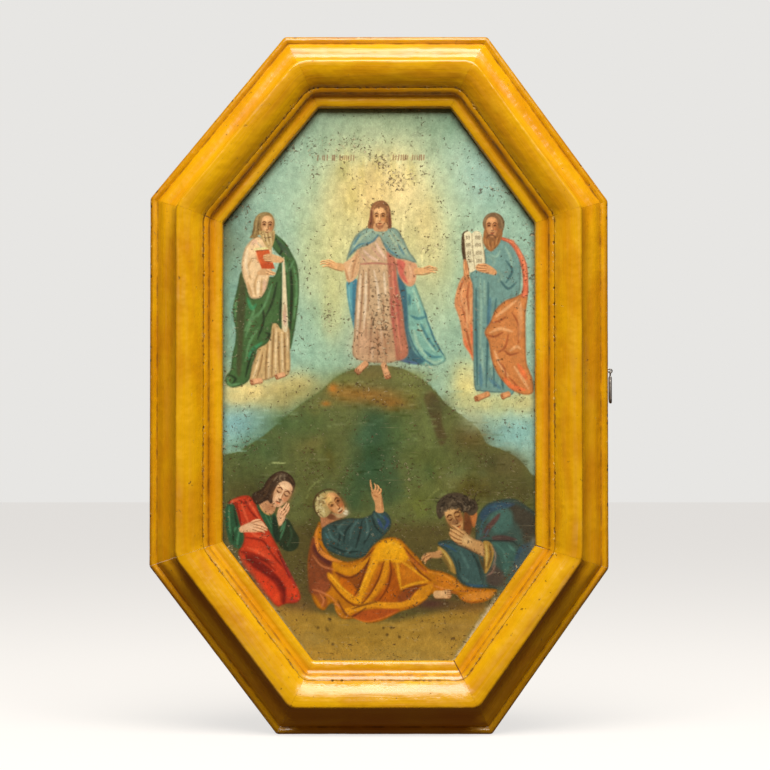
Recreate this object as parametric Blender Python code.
"""An icon on a wooden board in a tall octagonal frame of mitred mouldings, with a hook on its right edge.

Metres, +Z up. The picture faces -Y, and the flat back lies in the plane Y = 0, which is the wall.
The origin is the centre of the back. A section is drawn as (inward, forward) points: inward from the
frame's outer edge, and forward from the wall.
"""

import math

import bmesh
import bpy
from mathutils import Vector

# Outline of the frame, seen from the front. It is not quite regular
FRAME_WIDTH = 0.427
FRAME_HEIGHT = 0.650
TOP_FLAT = 0.190
TOP_FLAT_SHIFT = 0.0065
BOTTOM_FLAT = 0.200
BOTTOM_FLAT_SHIFT = 0.005
RIGHT_FLAT = 0.343
LEFT_FLAT = 0.343
LEFT_FLAT_LIFT = 0.002

# Gap kept between pieces that touch, and at the mitres
GAP = 0.0003

# Section of the main moulding
RIM_SIDE = 0.012
RIM_BEAD_WIDTH = 0.0064
RIM_BEAD_RISE = 0.0038
GROOVE_WIDTH = 0.0008
GROOVE_DEPTH = 0.0009
COVE_WIDTH = 0.0180
COVE_RISE = 0.0150
STEP_SETBACK = 0.0012
STEP_RISE = 0.0180
SHOULDER_WIDTH = 0.0068
SHOULDER_RISE = 0.0062
SLOPE_WIDTH = 0.0182
SLOPE_DROP = 0.0088
SLOPE_TURN = math.radians(52)

# Ledge behind the main moulding's inner edge, which carries the slip beside the board
LEDGE_WIDTH = 0.0072

# Section of the slip, the narrow inner moulding
SLIP_SIDE = 0.0172
SLIP_FILLET_WIDTH = 0.0046
SLIP_FILLET_RISE = 0.0018
SLIP_COVE_WIDTH = 0.0055
SLIP_COVE_DROP = 0.0066
SIGHT_BEAD_WIDTH = 0.0062
SIGHT_BEAD_RISE = 0.0022
SIGHT_BEAD_FALL = 0.0040

BOARD_THICKNESS = 0.024

# Hook and eye on the right edge
WIRE_RADIUS = 0.00065
EYE_RADIUS = 0.00165
EYE_HEIGHT = 0.0125
EYE_SHANK = 0.010
HOLE_SPARE_DEPTH = 0.002
SHANK_RADIUS = 0.0016
SHANK_LENGTH = 0.0243
HOOK_NECK = 0.0045
HOOK_BEND_RADIUS = 0.0032
HOOK_TIP_RADIUS = 0.0011
HOOK_TIP_LENGTH = 0.0025

SIDES = ("top", "upper_right", "right", "lower_right", "bottom", "lower_left", "left", "upper_left")


def clear_scene():
    """Empty the scene that Blender starts with."""
    for obj in list(bpy.data.objects):
        bpy.data.objects.remove(obj, do_unlink=True)


def make_material(name, colour, roughness, metallic=0.0):
    material = bpy.data.materials.new(name)
    material.use_nodes = True
    shader = material.node_tree.nodes["Principled BSDF"]
    shader.inputs["Base Color"].default_value = (*colour, 1.0)
    shader.inputs["Roughness"].default_value = roughness
    shader.inputs["Metallic"].default_value = metallic
    return material


def frame_outline():
    """Corners of the frame's outer edge in the X-Z plane, clockwise from the top left."""
    half_width, half_height = FRAME_WIDTH / 2, FRAME_HEIGHT / 2
    return [
        Vector((TOP_FLAT_SHIFT - TOP_FLAT / 2, half_height)),
        Vector((TOP_FLAT_SHIFT + TOP_FLAT / 2, half_height)),
        Vector((half_width, RIGHT_FLAT / 2)),
        Vector((half_width, -RIGHT_FLAT / 2)),
        Vector((BOTTOM_FLAT_SHIFT + BOTTOM_FLAT / 2, -half_height)),
        Vector((BOTTOM_FLAT_SHIFT - BOTTOM_FLAT / 2, -half_height)),
        Vector((-half_width, LEFT_FLAT_LIFT - LEFT_FLAT / 2)),
        Vector((-half_width, LEFT_FLAT_LIFT + LEFT_FLAT / 2)),
    ]


def directions(outline):
    """Unit vector along each side of the outline, from its corner to the next."""
    return [(outline[(i + 1) % len(outline)] - corner).normalized() for i, corner in enumerate(outline)]


def mitres(outline):
    """At each corner, the step that goes inward by one from both of its sides."""
    normals = [Vector((along.y, -along.x)) for along in directions(outline)]
    return [
        (normals[i - 1] + normals[i]) / (1 + normals[i - 1].dot(normals[i]))
        for i in range(len(outline))
    ]


def arc(centre, radii, start, end, steps):
    """Points on an ellipse about a centre, by its angle in radians."""
    angles = [start + (end - start) * i / steps for i in range(steps + 1)]
    return [(centre[0] + radii[0] * math.cos(a), centre[1] + radii[1] * math.sin(a)) for a in angles]


def cyma(start, width, rise, steps):
    """Points of a gentle S between two levels, without its ends."""
    bow = 0.12
    points = []
    for i in range(1, steps):
        share = i / steps
        points.append((start[0] + width * share, start[1] + rise * (share + bow * math.sin(math.tau * share))))
    return points


def rim_and_cove():
    """The main moulding's section from its rim to the foot of the step."""
    bead_centre = (RIM_BEAD_WIDTH / 2, RIM_SIDE)
    points = arc(bead_centre, (RIM_BEAD_WIDTH / 2, RIM_BEAD_RISE), math.pi, math.radians(20), 6)
    groove = (RIM_BEAD_WIDTH + GROOVE_WIDTH / 2, points[-1][1] - GROOVE_DEPTH)
    points.append(groove)
    cove_start = (RIM_BEAD_WIDTH + GROOVE_WIDTH, groove[1] + GROOVE_DEPTH / 2)
    points.append(cove_start)
    points += cyma(cove_start, COVE_WIDTH, COVE_RISE, 7)
    points.append((cove_start[0] + COVE_WIDTH, cove_start[1] + COVE_RISE))
    return points


def crest(foot):
    """The step's face, its rounded shoulder and the long slope towards the picture."""
    shoulder_foot = (foot[0] + STEP_SETBACK, foot[1] + STEP_RISE)
    top = (shoulder_foot[0] + SHOULDER_WIDTH, shoulder_foot[1] + SHOULDER_RISE)
    points = arc((top[0], shoulder_foot[1]), (SHOULDER_WIDTH, SHOULDER_RISE), math.pi, math.pi / 2, 6)
    radii = (SLOPE_WIDTH / math.sin(SLOPE_TURN), SLOPE_DROP / (1 - math.cos(SLOPE_TURN)))
    slope_centre = (top[0], top[1] - radii[1])
    points += arc(slope_centre, radii, math.pi / 2, math.pi / 2 - SLOPE_TURN, 7)[1:]
    return points


def main_section():
    """The main moulding's closed section, with the ledge for the slip."""
    face = rim_and_cove()
    face += crest(face[-1])
    inner_edge = face[-1][0]
    back_edge = inner_edge + LEDGE_WIDTH
    ledge = [(inner_edge, BOARD_THICKNESS), (back_edge, BOARD_THICKNESS), (back_edge, 0.0)]
    return [(0.0, 0.0)] + face + ledge


def main_inner_edge():
    """How far in the main moulding's visible face ends."""
    return (
        RIM_BEAD_WIDTH + GROOVE_WIDTH + COVE_WIDTH + STEP_SETBACK + SHOULDER_WIDTH + SLOPE_WIDTH
    )


def slip_section():
    """The slip's closed section: fillet, cove and the bead round the picture."""
    outer = main_inner_edge() + GAP
    underside = BOARD_THICKNESS + GAP
    side_top = underside + SLIP_SIDE
    fillet_centre = (outer + SLIP_FILLET_WIDTH / 2, side_top)
    points = [(outer, underside)]
    points += arc(fillet_centre, (SLIP_FILLET_WIDTH / 2, SLIP_FILLET_RISE), math.pi, math.radians(10), 5)
    cove_start = points[-1]
    radii = (SLIP_COVE_WIDTH, SLIP_COVE_DROP)
    cove_centre = (cove_start[0] + SLIP_COVE_WIDTH, cove_start[1])
    points += arc(cove_centre, radii, math.pi, math.pi * 1.5, 5)[1:]
    bead_start = points[-1]
    bead_centre = (bead_start[0] + SIGHT_BEAD_WIDTH / 2, bead_start[1])
    points += arc(bead_centre, (SIGHT_BEAD_WIDTH / 2, SIGHT_BEAD_RISE), math.pi, math.radians(30), 6)[1:]
    sight = outer + SLIP_FILLET_WIDTH + SLIP_COVE_WIDTH + SIGHT_BEAD_WIDTH
    points.append((sight, bead_start[1] - SIGHT_BEAD_FALL))
    points.append((sight, underside))
    return points


def link(name, data, material):
    obj = bpy.data.objects.new(name, data)
    obj.data.materials.append(material)
    bpy.context.scene.collection.objects.link(obj)
    return obj


def finish_mesh(name, bm, material, smooth_angle=None):
    """Turn a bmesh into an object with its faces pointing out."""
    bmesh.ops.recalc_face_normals(bm, faces=bm.faces)
    mesh = bpy.data.meshes.new(name)
    bm.to_mesh(mesh)
    bm.free()
    if smooth_angle is not None:
        mesh.shade_smooth()
        mesh.set_sharp_from_angle(angle=smooth_angle)
    return link(name, mesh, material)


def moulding_length(name, section, side, material):
    """One mitred length along a side of the frame, with half the gap taken off at each mitre."""
    outline = frame_outline()
    steps_in = mitres(outline)
    along = directions(outline)[side]
    ends = []
    for corner, sense in ((side, 1), ((side + 1) % len(outline), -1)):
        step = steps_in[corner]
        square_to_mitre = Vector((step.y, -step.x)).normalized()
        trim = along * sense * GAP / 2 / abs(along.dot(square_to_mitre))
        ends.append((outline[corner] + trim, step))

    bm = bmesh.new()
    loops = []
    for start, step in ends:
        loop = []
        for inward, forward in section:
            place = start + step * inward
            loop.append(bm.verts.new((place.x, -forward, place.y)))
        loops.append(loop)
        bm.faces.new(loop)
    count = len(section)
    for i in range(count):
        following = (i + 1) % count
        bm.faces.new((loops[0][i], loops[0][following], loops[1][following], loops[1][i]))
    return finish_mesh(name, bm, material, math.radians(35))


def make_board(material):
    """The panel, which fills the opening behind the slip and lies flush with the frame's back."""
    outline = frame_outline()
    edge = main_inner_edge() + LEDGE_WIDTH + GAP
    corners = [corner + step * edge for corner, step in zip(outline, mitres(outline))]
    bm = bmesh.new()
    back = [bm.verts.new((corner.x, 0.0, corner.y)) for corner in corners]
    face = bm.faces.new(back)
    front = bmesh.ops.extrude_face_region(bm, geom=[face])
    moved = [item for item in front["geom"] if isinstance(item, bmesh.types.BMVert)]
    bmesh.ops.translate(bm, verts=moved, vec=(0.0, -BOARD_THICKNESS, 0.0))
    return finish_mesh("painted_board", bm, material)


def make_wire(name, path, material):
    """A round wire along (x, y, z, radius) points, with closed ends."""
    curve = bpy.data.curves.new(name, "CURVE")
    curve.dimensions = "3D"
    curve.bevel_depth = 1.0
    curve.bevel_resolution = 3
    curve.use_fill_caps = True
    spline = curve.splines.new("POLY")
    spline.points.add(len(path) - 1)
    for point, (x, y, z, radius) in zip(spline.points, path):
        point.co = (x, y, z, 1.0)
        point.radius = radius
    spline.use_smooth = True
    return link(name, curve, material)


def eye_centre():
    """Centre of the screw eye's ring, clear of the moulding's side."""
    return Vector((FRAME_WIDTH / 2 + GAP + EYE_RADIUS + WIRE_RADIUS, -RIM_SIDE / 2, EYE_HEIGHT))


def make_screw_eye(material):
    """A wire that comes out of the moulding and bends round in a ring that faces the front."""
    centre = eye_centre()
    shank_end = FRAME_WIDTH / 2 - EYE_SHANK
    path = [(shank_end, centre.y, centre.z + EYE_RADIUS, WIRE_RADIUS)]
    for x, z in arc((centre.x, centre.z), (EYE_RADIUS, EYE_RADIUS), math.pi / 2, math.radians(-170), 20):
        path.append((x, centre.y, z, WIRE_RADIUS))
    return make_wire("screw_eye", path, material)


def make_hook(material):
    """A hook that hangs in the eye, side on to the front: its own eye, a thicker shank and a bend."""
    ring = eye_centre()
    eye_y, eye_z = ring.y, ring.z - EYE_RADIUS
    shank_y = eye_y + EYE_RADIUS
    path = []
    for forward, z in arc((-eye_y, eye_z), (EYE_RADIUS, EYE_RADIUS), math.radians(-80), math.pi, 20):
        path.append((ring.x, -forward, z, WIRE_RADIUS))
    path.append((ring.x, shank_y, eye_z - HOOK_NECK * 0.6, WIRE_RADIUS))
    path.append((ring.x, shank_y, eye_z - HOOK_NECK, SHANK_RADIUS))
    bend_z = eye_z - SHANK_LENGTH
    bend_centre = (HOOK_BEND_RADIUS - shank_y, bend_z)
    bend_steps = 12
    bend = arc(bend_centre, (HOOK_BEND_RADIUS, HOOK_BEND_RADIUS), math.pi, math.tau, bend_steps)
    for i, (forward, z) in enumerate(bend):
        radius = SHANK_RADIUS + (HOOK_TIP_RADIUS - SHANK_RADIUS) * i / bend_steps
        path.append((ring.x, -forward, z, radius))
    path.append((ring.x, path[-1][1], bend_z + HOOK_TIP_LENGTH, HOOK_TIP_RADIUS))
    return make_wire("hook", path, material)


def drill_for_eye(length, material):
    """Cut the hole that the screw eye's shank sits in."""
    centre = eye_centre()
    depth = EYE_SHANK + HOLE_SPARE_DEPTH
    bm = bmesh.new()
    bmesh.ops.create_cone(
        bm,
        cap_ends=True,
        segments=16,
        radius1=WIRE_RADIUS + GAP,
        radius2=WIRE_RADIUS + GAP,
        depth=2 * depth,
    )
    cutter = finish_mesh("eye_drill", bm, material)
    cutter.rotation_euler = (0.0, math.pi / 2, 0.0)
    cutter.location = (FRAME_WIDTH / 2, centre.y, centre.z + EYE_RADIUS)
    cutter.hide_render = True
    cutter.display_type = "WIRE"
    cut = length.modifiers.new("Eye hole", "BOOLEAN")
    cut.operation = "DIFFERENCE"
    cut.solver = "EXACT"
    cut.object = cutter


def main():
    clear_scene()
    enamel = make_material("mustard_enamel", (0.72, 0.36, 0.01), 0.28)
    paint = make_material("painted_face", (0.28, 0.40, 0.30), 0.5)
    steel = make_material("grey_steel", (0.45, 0.43, 0.40), 0.4, 1.0)
    for side, place in enumerate(SIDES):
        length = moulding_length(f"frame_{place}", main_section(), side, enamel)
        if place == "right":
            drill_for_eye(length, enamel)
        moulding_length(f"slip_{place}", slip_section(), side, enamel)
    make_board(paint)
    make_screw_eye(steel)
    make_hook(steel)


main()
